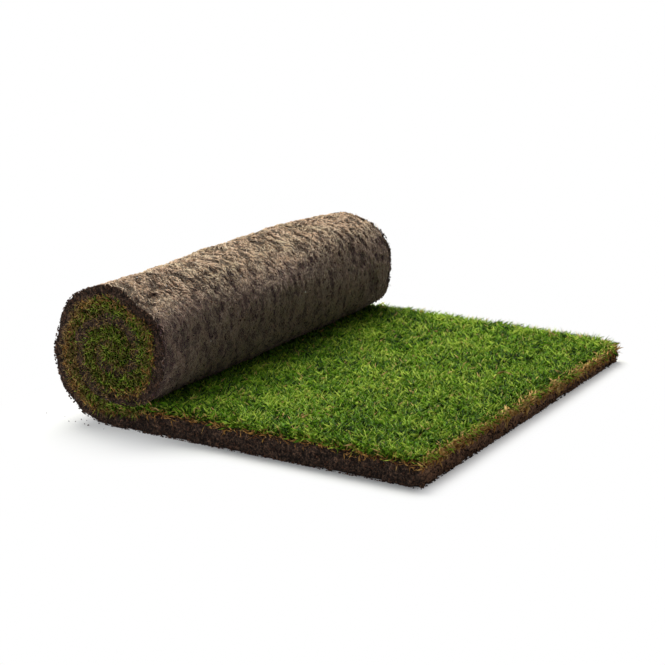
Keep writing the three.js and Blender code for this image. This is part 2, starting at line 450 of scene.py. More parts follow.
def shaded(owner, output, surface, *colours):
    """A material or a world, with the surface that a function makes of nodes, which it adds by
    the function that it is given."""
    owner.use_nodes = True
    tree = owner.node_tree
    tree.nodes.clear()
    shader = surface(partial(add_node, tree), *colours)
    tree.links.new(shader, tree.nodes.new("ShaderNode" + output).inputs["Surface"])
    return owner


def new_material(surface, *colours):
    """The material that a function makes. It has the function's name."""
    return shaded(bpy.data.materials.new(surface.__name__), "OutputMaterial", surface, *colours)


def stained(add, colour):
    """A colour with stains about 40 mm across, reddish in some places and greyish in others."""
    place = add("TexCoord", output="Object")
    stains = add("TexNoise", {"Vector": place, "Scale": 21.0, "Detail": 3.0, "Roughness": 0.6})
    tints = [(0.4, (1.0, 0.92, 0.9)), (0.6, (0.98, 0.99, 0.94))]
    tint = add("ValToRGB", {"Fac": stains}, stops=tints)
    return add("MixRGB", {"Fac": 1.0, "Color1": colour, "Color2": tint}, blend_type="MULTIPLY")


def painted_shade_by_facing(add, colours, facing, colour):
    """Painted shade: a colour that turns to the dark, purplish colour of felt in painted shade as
    the surface faces further from straight up. facing is its normal's Z."""
    shade_share = {"Value": facing, "From Min": 0.97, "From Max": 0.5, "To Max": 0.66}
    shade_share = add("MapRange", shade_share, **SMOOTH)
    return add("MixRGB", {"Fac": shade_share, "Color1": colour, "Color2": colours.felt_painted_shade})


def rooted_soil_sliced(add, colours):
    """Moist loam held by grass roots, sliced by a harvester's blade. It has no gloss. The cut
    edges are brown crumbs of 1 to 4 mm, and grit of 2 mm, with dark gaps, darker where the relief
    is low: painted shade in the hollows. The underside has dried to a pale felt of roots that run
    every way, whose fuzz catches light from behind. Its pits hold soil and are darkened further as
    painted shade, and its high places are palest, as painted light. It turns dark and purplish
    where it faces away from straight up: painted shade. The roots are drawn about 1 mm wide,
    coarser than most are, so that they show."""
    place = add("TexCoord", output="Object")
    # dried marks the cut end, whose soil is drawn lighter.
    skin, lift, dried = (
        add("Attribute", output="Fac", attribute_name=name) for name in ("skin", "lift", "cut_end")
    )
    crumbs, patches, grit = (
        add("TexNoise", {"Vector": place, "Scale": scale, "Detail": detail, "Roughness": rough})
        for scale, detail, rough in ((260.0, 4.0, 0.6), (24.0, 3.0, 0.6), (520.0, 3.0, 0.7))
    )

    # Roots: ridged noise stretched five times, laid in three directions.
    strip = add("UVMap", uv_map="strip")
    roots = None
    for turn in ROOT_DIRECTIONS:
        laid = {"Vector": strip, "Rotation": (0, 0, turn), "Scale": (1, 5, 1)}
        laid = add("Mapping", laid, vector_type="TEXTURE")
        ridges = {"Vector": laid, "Scale": 380.0, "Detail": 1.0, "Offset": 1.0, "Gain": 1.0}
        ridges = add("TexNoise", ridges, noise_type="RIDGED_MULTIFRACTAL")
        roots = add("Math", {0: roots, 1: ridges}, operation="MAXIMUM") if roots else ridges
    roots = add("MapRange", {"Value": roots, "From Min": 0.9, "From Max": 1.6}, **SMOOTH)

    # The underside: soil in the pits, felt over the rest, palest where it is high or a root
    # crosses it. The dark pits are partly painted shade, and the pale high places partly painted
    # light. Wherever it faces away from straight up it turns dark and purplish: painted shade.
    height = crumbs
    for part, weight in ((lift, 0.5), (patches, 0.3), (roots, 0.2)):
        height = add("Math", {0: part, 1: weight, 2: height}, **WEIGHTED)
    height = add("MapRange", {"Value": height, "From Min": 0.72, "From Max": 1.3})
    felts = [
        (0.1, colours.humus), (0.4, srgb("#4E3626")), (0.7, colours.felt), (1.0, colours.root),
    ]
    felt = stained(add, add("ValToRGB", {"Fac": height}, stops=felts))
    normal = add("TexCoord", output="Normal")
    # Painted shade: the felt darkens wherever it faces away from straight up.
    felt = painted_shade_by_facing(add, colours, add("SeparateXYZ", {"Vector": normal}, output="Z"), felt)

    # The cut edges and the top: crumbs, dark between them and darker where the relief is low, as
    # painted shade in the hollows. They are lighter on the cut end.
    grain = crumbs
    for part, weight in ((grit, 0.7), (lift, 0.25), (dried, 0.28)):
        grain = add("Math", {0: part, 1: weight, 2: grain}, **WEIGHTED)
    grain = add("MapRange", {"Value": grain, "From Max": 2.0})
    soils = [(0.4, srgb("#1A1511")), (0.53, srgb("#4A3B30")), (0.7, srgb("#A37B5C"))]
    cut = add("ValToRGB", {"Fac": grain}, stops=soils)
    colour = add("MixRGB", {"Fac": skin, "Color1": cut, "Color2": felt})
    raised = add("Math", {0: roots, 1: 0.25, 2: crumbs}, **WEIGHTED)
    bump = add("Bump", {"Height": raised, "Strength": 1.0, "Distance": 6 * MM})
    surface = {"Base Color": colour, "Normal": bump, "Roughness": 0.95, "IOR": 1.4}
    return add("BsdfPrincipled", {**surface, "Sheen Weight": skin, **FUZZ})


def grass_root_dried(add, colours):
    """Dead grass roots, thin as thread and dried in the air: matt and pale tan, some nearly white
    and some stained brown by the soil. Where the roll faces away from straight up they turn dark
    and purplish: painted shade."""
    tone, facing = (
        add("Attribute", output="Fac", attribute_name=name) for name in ("tone", "facing")
    )
    tans = [
        (0.0, srgb("#2E2018")), (0.35, colours.earth), (0.6, colours.root), (1.0, srgb("#F2DFC0")),
    ]
    colour = stained(add, add("ValToRGB", {"Fac": tone}, stops=tans))
    # Painted shade: the roots darken where the skin faces away from straight up.
    colour = painted_shade_by_facing(add, colours, facing, colour)
    surface = {"Base Color": colour, "Roughness": 0.8, "IOR": 1.45}
    return add("BsdfPrincipled", {**surface, "Sheen Weight": 1.0, **FUZZ})


def grass_leaf_mown(add, colours):
    """Living leaves of ryegrass and meadow grass, mown. Their wax gives a weak sheen, and light
    that shines through them comes out yellower. Each plant has its own green, the feet are
    yellowish and darker, as painted shade low in the sward, and a few leaves have dried to straw."""
    place = add("TexCoord", output="Object")
    tone, along, dry = (
        add("Attribute", output="Fac", attribute_name=name) for name in ("tone", "along", "dry")
    )
    patch = add("TexNoise", {"Vector": place, "Scale": 17.0, "Detail": 3.0, "Roughness": 0.6})
    mixed = add("Math", {0: tone, 1: 0.7, 2: -0.1}, **WEIGHTED)
    mixed = add("Math", {0: patch, 1: 0.8, 2: mixed}, **WEIGHTED)
    greens = [(0.3, colours.blade_deep), (0.68, colours.blade), (0.98, colours.blade_bright)]
    green = add("ValToRGB", {"Fac": mixed}, stops=greens)
    # Painted shade: each blade darkens towards its foot.
    grown = add("MapRange", {"Value": along, "From Max": 0.6}, **SMOOTH)
    leaf = add("MixRGB", {"Fac": grown, "Color1": colours.blade_foot_and_shade, "Color2": green})
    dead = add("ValToRGB", {"Fac": dry}, stops=[(0.3, colours.thatch), (0.8, colours.straw)])
    died = add("MapRange", {"Value": dry, "From Min": 0.05, "From Max": 0.5}, **SMOOTH)
    colour = add("MixRGB", {"Fac": died, "Color1": leaf, "Color2": dead})
    surface = {"Base Color": colour, "Roughness": 0.45, "IOR": 1.42, "Specular IOR Level": 0.12}
    face = add("BsdfPrincipled", surface)
    through = add("BsdfTranslucent", {"Color": colour})
    return add("MixShader", {"Fac": 0.25, 1: face, 2: through})


def thatch_straw_dried(add, colours):
    """Dead leaves and stems that dried in the thatch: matt, from orange brown to pale straw."""
    tone = add("Attribute", output="Fac", attribute_name="tone")
    straws = [(0.0, srgb("#70431F")), (0.55, srgb("#C0904A")), (1.0, colours.straw)]
    colour = add("ValToRGB", {"Fac": tone}, stops=straws)
    surface = {"Base Color": colour, "Roughness": 0.7, "IOR": 1.45, "Specular IOR Level": 0.15}
    return add("BsdfPrincipled", surface)


def thatch_pressed(add, colours):
    """Thatch and leaves pressed together between two turns: dark, matt and stringy."""
    place = add("TexCoord", output="Object")
    strands = {"Vector": place, "Scale": 420.0, "Detail": 4.0, "Roughness": 0.7, "Distortion": 1.2}
    strands = add("TexNoise", strands)
    browns = [(0.32, colours.humus), (0.52, srgb("#2F3313")), (0.75, srgb("#5B6B26"))]
    colour = add("ValToRGB", {"Fac": strands}, stops=browns)
    bump = add("Bump", {"Height": strands, "Strength": 0.8, "Distance": 1.5 * MM})
    surface = {"Base Color": colour, "Roughness": 0.9, "IOR": 1.4, "Specular IOR Level": 0.2}
    return add("BsdfPrincipled", {**surface, "Normal": bump})


def loam_crumbled(add):
    """Crumbs of loam, matt and nearly black to brown, and a few white grains of lime."""
    tone = add("Attribute", output="Fac", attribute_name="tone")
    loams = ((0.0, "#1A110B"), (0.8, "#5A4030"), (0.9, "#7A5C43"), (1.0, "#E4E0D6"))
    colour = add("ValToRGB", {"Fac": tone}, stops=[(at, srgb(code)) for at, code in loams])
    surface = {"Base Color": colour, "Roughness": 0.95, "IOR": 1.4, "Specular IOR Level": 0.2}
    return add("BsdfPrincipled", surface)


def seen_directly(add):
    """1 for rays from the camera, from a mirror or through glass, and 0 for the others."""
    path = add("LightPath").node.outputs
    seen = path["Is Camera Ray"]
    for ray in ("Is Glossy Ray", "Is Transmission Ray"):
        seen = add("Math", {0: seen, 1: path[ray]}, operation="MAXIMUM")
    return seen


def paper_matt(add):
    """Matt paper. Seen directly it keeps the object's shadow, and glows to plain white further
    off, by the distance from the object's footprint, and more slowly beside the roll."""
    here = add("TexCoord", output="Object")
    middle, half_size = FOOTPRINT
    place = add("VectorMath", {0: here, 1: middle}, operation="SUBTRACT")
    place = add("VectorMath", {0: place}, operation="ABSOLUTE")
    outside = add("VectorMath", {0: place, 1: half_size}, operation="SUBTRACT")
    outside = add("VectorMath", {0: outside, 1: (0, 0, 0)}, operation="MAXIMUM")
    away = add("VectorMath", {0: outside}, output="Value", operation="LENGTH")
    seen = seen_directly(add)
    along = add("SeparateXYZ", {"Vector": here}, output="X")
    across_edge = {"Value": along, "From Min": ROLL_EDGE[0], "From Max": ROLL_EDGE[1]}
    reach, start = (
        add("MapRange", {**across_edge, "To Min": beside, "To Max": beyond})
        for beside, beyond in (GLOW_REACH, GLOW_START)
    )
    away = add("Math", {0: away, 1: reach}, operation="DIVIDE")
    glow = add("MapRange", {"Value": away, "From Min": start, "From Max": 1.0}, **SMOOTH)
    glow = add("Math", {0: glow, 1: seen}, operation="MULTIPLY")
    colour = add("MixRGB", {"Fac": seen, "Color1": PAPER_LIT, "Color2": PAPER_SEEN})
    paper = add("BsdfDiffuse", {"Color": colour})
    return add("MixShader", {"Fac": glow, 1: paper, 2: add("Emission")})


def soft_sky(add):
    """A white surround that lights the object weakly from all sides."""
    dim = add("Background", {"Color": SKY_COLOUR, "Strength": SKY_STRENGTH})
    white = add("Background", {"Color": (1, 1, 1), "Strength": 1.0})
    return add("MixShader", {"Fac": seen_directly(add), 1: dim, 2: white})


# ---- the mat of soil and roots

LOWER_ROUND = 1.5 * MM
UPPER_ROUND = 3 * MM
CORNER_ROUND = 5 * MM
OUTER_PIECE_ANGLE = TURN + math.radians(25)
LAID_STEP, WOUND_STEP, INNER_STEP, PRESSED_STEP = 2 * MM, 2.4 * MM, 2.5 * MM, 5 * MM
WOUND_ACROSS, INNER_ACROSS = 240, 8  # points across the underside
UNDER_ROWS = np.array([80, 30, 12]) * MM  # how far in the laid mat's rows of points are
TOP_ROWS = np.array([8, 16, 32, 60, 100]) * MM

# The relief of the mat's surface: heights, spacings and seeds of its noise.
HUMMOCKS = (1.1 * MM, 27 * MM, 2)
LUMPS, GRAINS = (0.9 * MM, 8 * MM, 3), (0.9 * MM, 4 * MM, 4)
PITS, CHIPS = (2.4 * MM, 6 * MM, 5), (2.0 * MM, 17 * MM, 6)
PIT_LEVELS, CHIP_LEVELS = (0.15, 0.55), (0.5, 0.85)  # of noise where they set in and are deepest
PITS_ON_EDGE = 0.4  # their depth off the underside, as a share
BLADE_STRETCH = (0.6, 1, 1)
FINE_RANGE = 4.5 * MM

# Where soil shows on the underside: a rim along the edges, and how it widens behind and over the
# roll, between two angles of the outer turn.
RIM, WIDER_RIM, RIM_RAGGED = 7 * MM, 9 * MM, (4 * MM, 9 * MM, 7)
RIM_ANGLES = (3.3, 4.2)

# The pressed sward: how far out on the flat it starts, how far it is in from the edges, how far it
# reaches into the mat and into the next turn, and the share that it thins by on the flat.
PRESSED_START, PRESSED_RECESS = 30 * MM, 6 * MM
PRESSED_DEPTH, PRESSED_OVERLAP = 1 * MM, 0.5 * MM
PRESSED_THINNING = 0.67


def level_rows(place, top):
    """Rows like edge_profile's, for places on the underside, top = 0, or on the top, top = 1."""
    return np.stack([place, 0 * place, top + 0 * place, 0 * place, 2 * top - 1 + 0 * place])


def edge_profile():
    """The mat's cut edge from the underside to the top: a quarter round, a straight side and a
    smaller quarter round. Gives rows of each point's inset from the edge, its height as a length
    plus a share of the mat's thickness, and the outward and upward parts of its normal."""
    turn = np.linspace(math.pi / 2, 0, 4)
    back = turn[::-1]
    side = np.linspace(0, 1, 12)[1:-1]
    out, up = np.cos(turn), np.sin(turn)
    low = [LOWER_ROUND * (1 - out), LOWER_ROUND * (1 - up), 0 * turn, out, -up]
    out, up = np.cos(back), np.sin(back)
    high = [UPPER_ROUND * (1 - out), -UPPER_ROUND * (1 - up), 1 + 0 * back, out, up]
    length = LOWER_ROUND - (LOWER_ROUND + UPPER_ROUND) * side
    middle = [0 * side, length, side, 1 + 0 * side, 0 * side]
    return np.concatenate([low, middle, high], axis=1)


def relief(u, y, h, upward):
    """How far the mat's surface stands out of its even form, and how high its fine part is from 0
    to 1. It sums hummocks, lumps and grains, takes pits out of the underside, and chips out of
    the edges. All but the hummocks are stretched along the strip, the way that the blade went."""
    at = points(u, y, h)
    under = (np.minimum(upward, 0) ** 2 + 0 * np.asarray(u)).ravel()
    hummocks = HUMMOCKS[0] * noise(at, *HUMMOCKS[1:])
    at = at * BLADE_STRETCH
    fine = LUMPS[0] * noise(at, *LUMPS[1:]) + GRAINS[0] * noise(at, *GRAINS[1:])
    pits = PITS[0] * smooth_step(noise(at, *PITS[1:]), *PIT_LEVELS)
    chips = CHIPS[0] * smooth_step(noise(at, *CHIPS[1:]), *CHIP_LEVELS)
    pits = pits * (PITS_ON_EDGE + (1 - PITS_ON_EDGE) * under)
    fine = fine - pits - chips * (1 - under)
    shape = np.broadcast(u, y, h).shape
    lift = np.clip(0.5 + fine / FINE_RANGE, 0, 1)
    return (hummocks + fine).reshape(shape), lift.reshape(shape)


def mat_mesh(name, course, u, y, length, share, normal, faces, material):
    """The mesh of a stretch of the mat: each point of the even form is moved along its normal by
    the relief. The normal's parts are along the strip, across it, and up from its underside."""
    along, across, upward = normal
    h = length + share * course.mat(u, y)
    out, lift = relief(u, y, h, upward)
    places = course.place(u + along * out, y + across * out, h + upward * out).reshape(-1, 3)
    inside = (course.half_width - np.abs(y) + 0 * u).ravel()
    ragged = inside + RIM_RAGGED[0] * noise(points(u, y, h), *RIM_RAGGED[1:])
    rim = RIM + WIDER_RIM * smooth_step(course.angle(u), *RIM_ANGLES)
    skin = (np.minimum(upward, 0) ** 2 + 0 * u).ravel()
    values = {
        "skin": skin * smooth_step(ragged, 0, (rim + 0 * y).ravel()),
        # lift, how high the fine relief stands, is turned by the soil's material into painted
        # shade in the hollows and painted light on the high places.
        "lift": lift.ravel(),
        "cut_end": (np.abs(along) + 0 * u + 0 * y).ravel(),
    }
    uv = np.stack([u + np.abs(along) * h, y + across * h], -1).reshape(-1, 2)
    return write_mesh(name, places, faces, material, values, uv)


def wound_mat(name, course, start, end, step, across, material):
    """A stretch of the mat from u = start to end: its section carried along the strip's course,
    every step, and closed by a cap at both ends. The section is a loop, with a number of points
    across on the underside, then the far edge, ten points on the top, and the near edge."""
    half = course.half_width
    far = edge_profile()
    far[0] = half - far[0]
    near = far[:, ::-1] * [[-1], [1], [1], [-1], [1]]
    under = level_rows(np.linspace(-1, 1, across + 2)[1:-1] * (half - LOWER_ROUND), 0)
    top = level_rows(np.linspace(1, -1, 12)[1:-1] * (half - UPPER_ROUND), 1)
    section = np.concatenate([under, far, top, near], axis=1)
    u = np.linspace(start, end, int(abs(end - start) / step) + 1)[:, None]
    u, y, length, share, outward, upward = np.broadcast_arrays(u, *section)
    faces = bar_faces(*u.shape)
    return mat_mesh(name, course, u, y, length, share, (0, outward, upward), faces, material)


def laid_mat(name, course, step, material):
    """The flat stretch of the mat. Its edge profile is carried along the near edge, round a
    corner, along the cut end, round the other corner and back along the far edge, and further
    rows close in on the middle of the underside and of the top. Bridges from the near part to the
    far part of the first and of the last row close the middle, and one face closes the side where
    the roll goes on."""
    parts = [level_rows(UNDER_ROWS, 0), edge_profile(), level_rows(TOP_ROWS, 1)]
    inset, length, share, outward, upward = np.concatenate(parts, axis=1)[:, :, None]

    # Round the outline: which way its points reach from the middle, and its outward direction.
    run, half = course.sizes.flat_run, course.half_width
    edge = np.linspace(0, 1, int(run / step))
    cut = np.linspace(-1, 1, int(2 * half / step))
    turn = np.linspace(0, math.pi / 2, 5)[1:-1]
    reach_u = np.concatenate([edge, 1 + 0 * turn, 1 + 0 * cut, 1 + 0 * turn, edge[::-1]])
    reach_y = np.concatenate([0 * edge - 1, 0 * turn - 1, cut, 1 + 0 * turn, 1 + 0 * edge])
    out_u = np.concatenate([0 * edge, np.sin(turn), 1 + 0 * cut, np.cos(turn), 0 * edge])
    out_y = np.concatenate([0 * edge - 1, -np.cos(turn), 0 * cut, np.sin(turn), 1 + 0 * edge])
    u = reach_u * (run - inset - CORNER_ROUND) + out_u * CORNER_ROUND
    y = reach_y * (half - inset - CORNER_ROUND) + out_y * CORNER_ROUND

    rows, columns = u.shape
    number = np.arange(rows * columns).reshape(rows, columns)
    faces = [grid_faces(rows, columns)]
    sides = len(edge)
    for row, flip in ((0, -1), (rows - 1, 1)):
        near = number[row, :sides]
        far = number[row, : -sides - 1 : -1]
        bridges = np.stack([near[:-1], near[1:], far[1:], far[:-1]], -1)
        end = number[row, sides - 1 : columns - sides + 1]
        faces += [bridges[:, ::flip], end[None, ::flip]]
    faces.append(np.concatenate([number[:, 0], number[::-1, -1]])[None])
    normal = (outward * out_u, outward * out_y, upward)
    return mat_mesh(name, course, u, y, length, share, normal, faces, material)


def pressed_core(name, course, material):
    """The grass pressed between two turns, from under the roll's front to the strip's inner end:
    a slab over the mat that fills its room, thins as it comes out from under the roll, and stops
    short of the strip's edges. Its section, a rectangle with ten points along each long side, is
    carried along the course."""
    start, end = PRESSED_START, -course.rolled_length
    row = np.linspace(-1, 1, 10)
    y = np.concatenate([row, row[::-1]]) * (course.half_width - PRESSED_RECESS)
    high = np.concatenate([0 * row, 1 + 0 * row])
    u = np.linspace(start, end, int((start - end) / PRESSED_STEP) + 1)[:, None]
    u, y, high = np.broadcast_arrays(u, y, high)
    share = 1 - PRESSED_THINNING * smooth_step(u, 0, start)
    h = course.mat(u, y) - PRESSED_DEPTH + high * (share * course.room(u, y) + PRESSED_OVERLAP)
    places = course.place(u, y, h).reshape(-1, 3)
    return write_mesh(name, places, bar_faces(*u.shape), material)


# ---- blades, roots and crumbs

KITE_FACES = np.array([[0, 1, 2], [3, 2, 1], [0, 3, 1], [0, 2, 3]])
CRUMB_FACES = np.array(
    [[0, 2, 4], [2, 1, 4], [1, 3, 4], [3, 0, 4], [2, 0, 5], [1, 2, 5], [3, 1, 5], [0, 3, 5]]
)
CRUMB_CORNERS = np.concatenate([np.eye(3), -np.eye(3)])[[0, 3, 1, 4, 2, 5]]
KNEE = 0.4  # share of its length at which a blade is widest and bends

EDGE_GAP = 0.5 * MM  # blades keep this far inside the cut edges
EDGE_BAND = 9 * MM  # nearer to a cut edge than this, blades lean out and some have died
FAR_BAND = 30 * MM  # nearer to the far edge than this, they are mown to one height
END_BAND = 9 * MM  # the blades at the roll's ends have their feet this near to the edge
UNROLLED = 45 * MM  # and reach this far along the flat run
INNER_TURNS = (TURN - 1.2, TURN + 0.3)  # angles between which the inner turns begin
HAIR_ANGLES = (0.4, OUTER_PIECE_ANGLE - 0.05)
HAIR_RIM, WIDER_HAIR_RIM = 8 * MM, 10 * MM
CLUMPS = (9 * MM, 21)  # spacings and seeds of noise
WITHERED_PATCHES = (26 * MM, 23)
HAIR_SWIRLS, HAIR_PATCHES = (25 * MM, 8), (30 * MM, 9)
STEM_CLUSTERS = (30 * MM, 25)

# Means and deviations, or ranges, of what is drawn at random, in mm and degrees. A blade's width
# is a share of the usual one.
TUFT_SPREAD = 1.7
TUFT_SHIFT = (-0.3, 1.3)  # in steps of the plants' grid
TUFT_CHANGES = [[0.5], [0.5], [0.16], [0.12]]  # in lean along and across, in tone and in height
FAN, STRAY = 0.9, 0.4  # how much blades lean away from the middle of their plant, and at random
SIDES = (-0.4, 0.3)  # how strong the near and the far edge are beside the cut end, and their way
LEAN_OUT = (0.5, 0.8)  # how much blades lean out over the cut end, and over those edges
BLADE_FOOT, BLADE_LEAN, BLADE_BEND = (-1, 8), (36, 20), (5, 75)
BLADE_LIMITS, BLADE_WIDTH = (4 * MM, 24 * MM), (0.6, 1.2)
END_LENGTH, END_WIDTH, END_LEAN, END_BEND = (4, 10), (0.4, 1.1), (45, 95), (8, 85)
END_OUT = (-1, 1.5)  # how far out of the roll's end a blade's foot is
END_TONES = ((0, 0.4), (0.7, 1.6))  # of the deep green blades and of the others, half of each
HAIR_TURN = (1.3, 0.5)  # in radians, by the swirls and at random
HAIR_LENGTH, HAIR_WIDTH, HAIR_SUNK = (3, 10), (0.6, 1.2), 0.2
# Heights of the pale hairs, and of the low ones, which are dark with soil and painted shade.
HAIR_HEIGHT, SOILED_AND_SHADED_HEIGHT = (0.3, 1.5), (0.1, 0.5)
STEM_LENGTH, STEM_WIDTH, STEM_LEAN, STEM_BEND = (3, 15), (0.4, 1.0), (45, 90), (5, 75)
STEM_HEIGHT, STEM_IN = (-3, 3), (-1, 2)  # its foot's, above the mat's top and in from the edge
CRUMB_SIZE = (0.7, 1.4)  # the root of its radius
CRUMB_JITTER = (0.6, 1.25)  # shares of the radius
SPILT = (0.4, 0.8)  # mean way that a crumb has rolled, and how far under the edge it started
FALLEN_CRUMBS, FALLEN_SPREAD = np.array([-214, -309, 0.5]), np.array([28, 6, 0])

# Shares of the pieces of a kind.
OVER_MAT = 0.4  # of the blades at the roll's ends, over the mat and not in the sward
# Share of root hairs that lie low and dark: soil on them, and painted shade.
SOILED_AND_SHADED = 0.4  # of the root hairs
STEMS_ON_END, CRUMBS_ON_END = 0.55, 0.2  # on the cut end and not along the other edges
ON_EDGE, AT_FOOT, ON_SKIN = 0.6, 0.75, 0.998  # of the crumbs, each counted with those before it
LIME = 0.012  # white grains among the crumbs on the roll


def strands(name, base, axis, way, lean, bend, length, width, twist, values, material):
    """Blades or stems in one mesh, each a closed kite of four faces. From its base, a point, it
    leans from its axis towards its way by the angle lean, and past its knee by bend more. There
    it has two corners, and it ends in a point. Its width is turned about it by the angle
    twist."""
    way = way - np.einsum("ij,ij->i", way, axis)[:, None] * axis
    way = way / np.linalg.norm(way, axis=1, keepdims=True)
    side = np.cross(axis, way)
    width = np.where(bend < 0, -width, width)
    lean, bend, length, width, twist = (
        part[:, None] for part in (lean, lean + bend, length, width, twist)
    )
    first = np.cos(lean) * axis + np.sin(lean) * way
    second = np.cos(bend) * axis + np.sin(bend) * way
    wide = np.cos(twist) * side + np.sin(twist) * np.cross(first, side)
    wide = wide * width / 2
    middle = base + first * length * KNEE
    tip = middle + second * length * (1 - KNEE)
    corners = np.stack([base, middle - wide, middle + wide, tip], 1)
    values = {key: value[:, None] for key, value in values.items()}
    values["along"] = np.array([0, KNEE, KNEE, 1])
    return write_copies(name, corners, KITE_FACES, values, material)


def flat_grass(name, course, plants, start, end, rng, material):
    """The plants of the flat run from u = start to end. They stand on a grid with each point
    shifted at random, and each has a few blades that fan out round its own lean. They leave its
    stalks at different heights. Blades are longer on clumps about 9 mm apart, lean out a little
    over the edges, and keep under the roll. Along the far edge they are mown to one height, lower
    and mostly withered at its corner with the cut end. Along the cut end and the near edge some
    have died, most of them in patches about 26 mm apart."""
    # The plants, and the feet of their blades round them.
    run, strip_width = course.sizes.flat_run, course.sizes.strip_width
    share = (end - start) / run
    columns = int(math.sqrt(plants.tufts / (run * strip_width)) * strip_width)
    rows = int(plants.tufts * share / columns)
    tufts = rows * columns
    row, column = np.divmod(np.arange(tufts), columns)
    u = start + (row + rng.uniform(*TUFT_SHIFT, tufts)) * (end - start) / rows
    y = ((column + rng.uniform(*TUFT_SHIFT, tufts)) / columns - 0.5) * strip_width
    lean_u, lean_y, tone, height = rng.normal(0, TUFT_CHANGES, (4, tufts))

    number = np.repeat(np.arange(tufts), plants.blades_per_tuft)
    off_u, off_y = rng.normal(0, 1, (2, len(number)))
    half = course.half_width - EDGE_GAP
    u = np.minimum(u[number] + TUFT_SPREAD * MM * off_u, run - EDGE_GAP)
    y = np.clip(y[number] + TUFT_SPREAD * MM * off_y, -half, half)
    room = course.room(u, y)
    keep = room > BLADE_LIMITS[0]
    u, y, room, number, off_u, off_y = (part[keep] for part in (u, y, room, number, off_u, off_y))
    count = len(number)

    # How near each foot is to an edge, and which way its blade grows.
    over_end = smooth_step(u, run - EDGE_BAND, run)
    over_side = np.where(y < 0, *SIDES) * smooth_step(np.abs(y), half - EDGE_BAND, half)
    far = smooth_step(y, half - FAR_BAND, half)
    corner = far * smooth_step(u, run - FAR_BAND, run)
    foot = np.minimum(rng.uniform(*BLADE_FOOT, count) * MM + 2 * MM * far, 0.45 * room)
    base = course.place(u, y, course.mat(u, y) + foot)
    clump = noise(base, *CLUMPS)
    along, across, up = course.axes(u)
    way_u = lean_u[number] + FAN * off_u + rng.normal(0, STRAY, count) + LEAN_OUT[0] * over_end
    way_y = lean_y[number] + FAN * off_y + rng.normal(0, STRAY, count) + LEAN_OUT[1] * over_side
    way = way_u[:, None] * along + way_y[:, None] * across
    lean = np.radians(np.clip(rng.normal(*BLADE_LEAN, count) - 14 * far, 2, 80))
    lean = lean * (1 - 0.5 * over_end * far)
    straighter = 0.5 * far + 1.5 * (y < 0) * np.abs(over_side)
    bend = np.radians(rng.uniform(*BLADE_BEND, count) * (1 - straighter))

    # How long it is. reach is its height as a share of its length, and level that of the mowing.
    length = 1 + height[number] + 0.16 * clump + rng.normal(0, 0.18, count)
    length = plants.blade_length * length * (1 - 0.3 * over_end)
    reach = KNEE * np.cos(lean) + (1 - KNEE) * np.maximum(np.cos(lean + bend), 0)
    level = room + (3 * u / run - 1 - 2 * over_end - 7 * corner) * MM
    mown = (level - foot) * (1 + rng.normal(0, 0.12, count)) / np.maximum(reach, 0.35)
    length = length + far * (mown - length)
    above = room - foot + 2 * MM + 3 * MM * far
    length = np.clip(np.minimum(length, above / np.maximum(reach, 0.2)), *BLADE_LIMITS)
    width = plants.blade_width * rng.uniform(*BLADE_WIDTH, count) * (1 - 0.3 * over_end)

    # What it looks like.
    withered = 0.15 + 0.6 * smooth_step(noise(base, *WITHERED_PATCHES), -0.3, 0.4) + 0.5 * far
    withered = withered * np.maximum(over_end, 0.5 * np.abs(over_side)) + 0.6 * corner
    dry = (rng.random(count) < 0.02 + withered) * rng.uniform(0.6, 1, count)
    tone = 0.43 + tone[number] + rng.normal(0, 0.34, count)
    tone = tone + 0.15 * clump + 0.1 * far + 0.35 * over_end
    values = {"tone": np.clip(tone, 0, 1.2), "dry": dry}
    twist = rng.uniform(-0.9, 0.9, count)
    return strands(name, base, up, way, lean, bend, length, width, twist, values, material)


def end_grass(name, course, plants, side, rng, material):
    """Blades and thatch that stick out at one end of the roll, side -1 or 1, and lie over it in
    all directions. Their feet are a little in from the strip's edge. In the outer turn they are in
    the sward or at the mat's top, and in the inner turns two fifths of them lie over the mat, so
    that the spiral half shows. Most of those in the sward are green, and most of those over the
    mat are dead, brown or straw. More of them are dead and straw-coloured on the back of the roll,
    the side that faces the lamp: dead blades, and in part painted light."""
    count = plants.end_blades
    u = rng.uniform(-course.rolled_length, UNROLLED, count)
    y = side * (course.half_width - END_BAND * rng.uniform(0, 1, count) ** 1.5)
    angle = course.angle(u)
    mat, room = course.mat(u, y), course.room(u, y)
    inner = smooth_step(angle, *INNER_TURNS)
    low = mat * (1 - 0.25 * smooth_step(np.sin(angle), 0, 1)) * (1 - inner)
    rank = rng.uniform(0, 1, count)
    over_mat = low + (mat - low) * rank / OVER_MAT
    in_room = mat + 0.95 * room * (rank - OVER_MAT) / (1 - OVER_MAT)
    h = np.where(rank < OVER_MAT, over_mat, in_room)
    in_sward = smooth_step(h - mat, -1 * MM, 1 * MM)
    across = side * course.axes(u)[1]
    lean = np.radians(rng.uniform(*END_LEAN, count))
    bend = np.radians(rng.uniform(*END_BEND, count) * rng.choice([-0.5, 1], count))
    length = rng.uniform(*END_LENGTH, count) * MM * (1 + 0.6 * in_sward)
    width = plants.blade_width * rng.uniform(*END_WIDTH, count)
    # In part painted light: more dead, paler blades on the back of the roll, the side that faces
    # the lamp.
    behind = smooth_step(np.sin(angle), 0.2, 0.9) * (1 - inner)
    dry = np.clip(rng.normal(0.5 - 0.31 * in_sward + 0.2 * behind, 0.22, count), 0, 1)
    deep = rng.random(count) < 0.5
    tone = np.where(deep, *(rng.uniform(low, high, count) for low, high in END_TONES))
    values = {"tone": tone, "dry": dry}
    twist = rng.uniform(-1.5, 1.5, count)
    way = rng.normal(0, 1, (count, 3))
    base = course.place(u, y, h) + across * rng.uniform(*END_OUT, count)[:, None] * MM
    return strands(name, base, across, way, lean, bend, length, width, twist, values, material)


